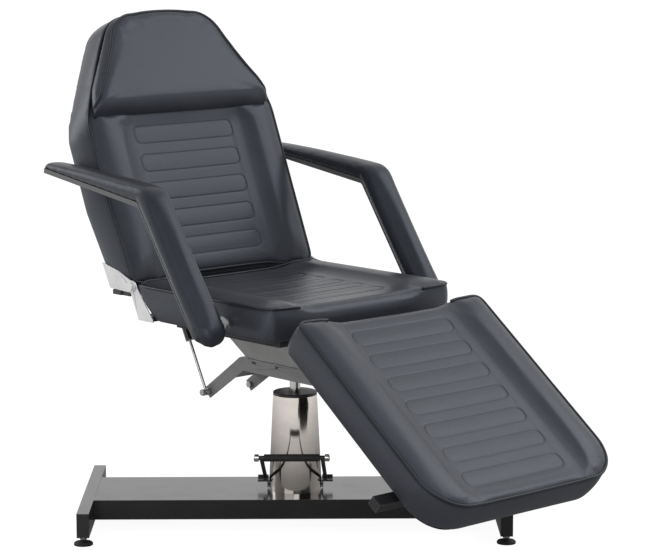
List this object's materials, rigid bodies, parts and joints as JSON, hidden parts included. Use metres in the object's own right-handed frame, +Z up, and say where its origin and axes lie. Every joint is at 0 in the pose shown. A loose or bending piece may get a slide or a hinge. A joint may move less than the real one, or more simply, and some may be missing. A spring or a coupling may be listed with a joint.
{
  "type": "tattoo chair",
  "caption": "Reclining upholstered tattoo chair with a head cushion, folding armrests and leg rest, on a swivelling foot-pumped column over a steel H base.",
  "frame": {"origin": "on the floor under the middle of the chair's whole outline, with the chair as it stands in the picture", "axes": "+X points forward to the leg rest, +Y to the sitter's left, +Z up"},
  "size_m": [1.4502, 1.1304, 1.2651],
  "materials": {
    "base_paint": "satin",
    "frame_paint": "satin",
    "riser_paint": "satin",
    "bright_steel": "satin",
    "chrome": "polished",
    "plain_steel": "satin",
    "iron": "rough",
    "black_plastic": "matte",
    "black_rubber": "matte",
    "upholstery": "satin",
    "board": "matte",
    "arm_board": "satin"
  },
  "bodies": {
    "base": {"base_plank": "base_paint", "base_crossbar_left": "base_paint", "base_crossbar_right": "base_paint", "crossbar_plugs": "black_plastic", "foot_nuts": "plain_steel", "pump_flange": "plain_steel", "flange_bolts": "plain_steel", "pump_housing": "iron", "guide_bush": "plain_steel", "cone_cover": "chrome", "cone_cap": "black_plastic"},
    "foot_near_left_screw": {"foot_near_left": "black_rubber"},
    "foot_near_right_screw": {"foot_near_right": "black_rubber"},
    "foot_far_left_screw": {"foot_far_left": "black_rubber"},
    "foot_far_right_screw": {"foot_far_right": "black_rubber"},
    "pedal": {"rocker_shaft": "plain_steel", "pedal_brackets": "frame_paint", "pedal_bar": "chrome", "pedal_grip": "black_rubber", "pedal_end_caps": "chrome"},
    "plunger": {"pump_plunger": "plain_steel"},
    "piston": {"piston_rod": "chrome"},
    "seat": {"seat_carrier": "base_paint", "swivel_hub": "plain_steel", "tail_bolts": "plain_steel", "leg_spring_pin": "plain_steel", "seat_riser": "riser_paint", "seat_board": "board", "seat_cushion": "upholstery", "seat_rear_bar": "frame_paint", "seat_hinge_plates": "bright_steel", "hinge_bolts": "bright_steel", "arm_pivots": "bright_steel", "leg_ears": "frame_paint", "leg_hinge_pins": "plain_steel", "lever_clevis": "frame_paint"},
    "backrest": {"back_cushion": "upholstery", "head_cushion": "upholstery", "back_board": "board", "back_rails": "frame_paint", "back_crossbar": "frame_paint", "back_hinge_plates": "bright_steel"},
    "back_spring_lower": {"back_spring_rod": "chrome"},
    "back_spring_upper": {"back_spring_tube": "base_paint"},
    "leg_rest": {"leg_cushion": "upholstery", "leg_board": "board", "leg_rails": "frame_paint", "leg_handle": "frame_paint", "leg_handle_plugs": "black_plastic", "leg_spring_lug": "frame_paint"},
    "leg_spring_lower": {"leg_spring_rod": "chrome"},
    "leg_spring_upper": {"leg_spring_tube": "base_paint"},
    "right_armrest": {"arm_pad_right": "upholstery", "arm_core_right": "plain_steel", "arm_board_right": "arm_board"},
    "left_armrest": {"arm_pad_left": "upholstery", "arm_core_left": "plain_steel", "arm_board_left": "arm_board"},
    "back_lever": {"release_lever": "black_plastic"}
  },
  "joints": [
    {"name": "foot_near_left_turn_out", "type": "slide", "parent": "base", "child": "foot_near_left_screw", "axis": [0, 0, -1], "range_m": [0, 0.015]},
    {"name": "foot_near_right_turn_out", "type": "slide", "parent": "base", "child": "foot_near_right_screw", "axis": [0, 0, -1], "range_m": [0, 0.015]},
    {"name": "foot_far_left_turn_out", "type": "slide", "parent": "base", "child": "foot_far_left_screw", "axis": [0, 0, -1], "range_m": [0, 0.015]},
    {"name": "foot_far_right_turn_out", "type": "slide", "parent": "base", "child": "foot_far_right_screw", "axis": [0, 0, -1], "range_m": [0, 0.015]},
    {"name": "pedal_press", "type": "hinge", "parent": "base", "child": "pedal", "pos_m": [-0.09653, 0, 0.094], "axis": [0.6665, 0.7455, 0], "range_deg": [0, 20], "stiffness_Nm_per_rad": 20, "springref_deg": -11.46},
    {"name": "plunger_lift", "type": "slide", "parent": "base", "child": "plunger", "axis": [0, 0, 1], "range_m": [0, 0.012]},
    {"name": "seat_lift", "type": "slide", "parent": "base", "child": "piston", "axis": [0, 0, 1], "range_m": [0, 0.17]},
    {"name": "seat_swivel", "type": "hinge", "parent": "piston", "child": "seat", "pos_m": [-0.09653, 0, 0.385], "axis": [0, 0, 1], "continuous": true},
    {"name": "back_recline", "type": "hinge", "parent": "seat", "child": "backrest", "pos_m": [-0.36653, 0, 0.592], "axis": [0, -1, 0], "range_deg": [-6, 67.7]},
    {"name": "back_spring_swing", "type": "hinge", "parent": "seat", "child": "back_spring_lower", "pos_m": [-0.34553, -0.0814, 0.299], "axis": [0, -1, 0], "range_deg": [-6, 2]},
    {"name": "back_spring_stroke", "type": "slide", "parent": "back_spring_lower", "child": "back_spring_upper", "axis": [-0.4588, 0, 0.8886], "range_m": [-0.1305, 0.0125]},
    {"name": "leg_lift", "type": "hinge", "parent": "seat", "child": "leg_rest", "pos_m": [0.18547, 0, 0.48], "axis": [0, -1, 0], "range_deg": [-10, 36.9]},
    {"name": "leg_spring_swing", "type": "hinge", "parent": "seat", "child": "leg_spring_lower", "pos_m": [0.04847, 0, 0.386], "axis": [0, -1, 0], "range_deg": [-7, 21]},
    {"name": "leg_spring_stroke", "type": "slide", "parent": "leg_spring_lower", "child": "leg_spring_upper", "axis": [0.998, 0, -0.0629], "range_m": [-0.0145, 0.0515]},
    {"name": "right_arm_swing", "type": "hinge", "parent": "seat", "child": "right_armrest", "pos_m": [-0.00453, -0.3655, 0.548], "axis": [0, -1, 0], "range_deg": [-25, 60]},
    {"name": "left_arm_swing", "type": "hinge", "parent": "seat", "child": "left_armrest", "pos_m": [-0.00453, 0.3655, 0.548], "axis": [0, -1, 0], "range_deg": [-25, 60]},
    {"name": "lever_pull", "type": "hinge", "parent": "seat", "child": "back_lever", "pos_m": [-0.19653, 0.24, 0.484], "axis": [1, 0, 0], "range_deg": [0, 10], "stiffness_Nm_per_rad": 0.6, "springref_deg": -8.59}
  ],
  "couplings": [
    {"joint": "plunger_lift", "follows": "pedal_press", "m_per_rad": 0.032},
    {"joint": "back_spring_swing", "follows": "back_recline", "ratio": -0.085},
    {"joint": "back_spring_stroke", "follows": "back_recline", "m_per_rad": -0.10908},
    {"joint": "leg_spring_swing", "follows": "leg_lift", "ratio": 0.53895},
    {"joint": "leg_spring_stroke", "follows": "leg_lift", "m_per_rad": 0.077815}
  ]
}
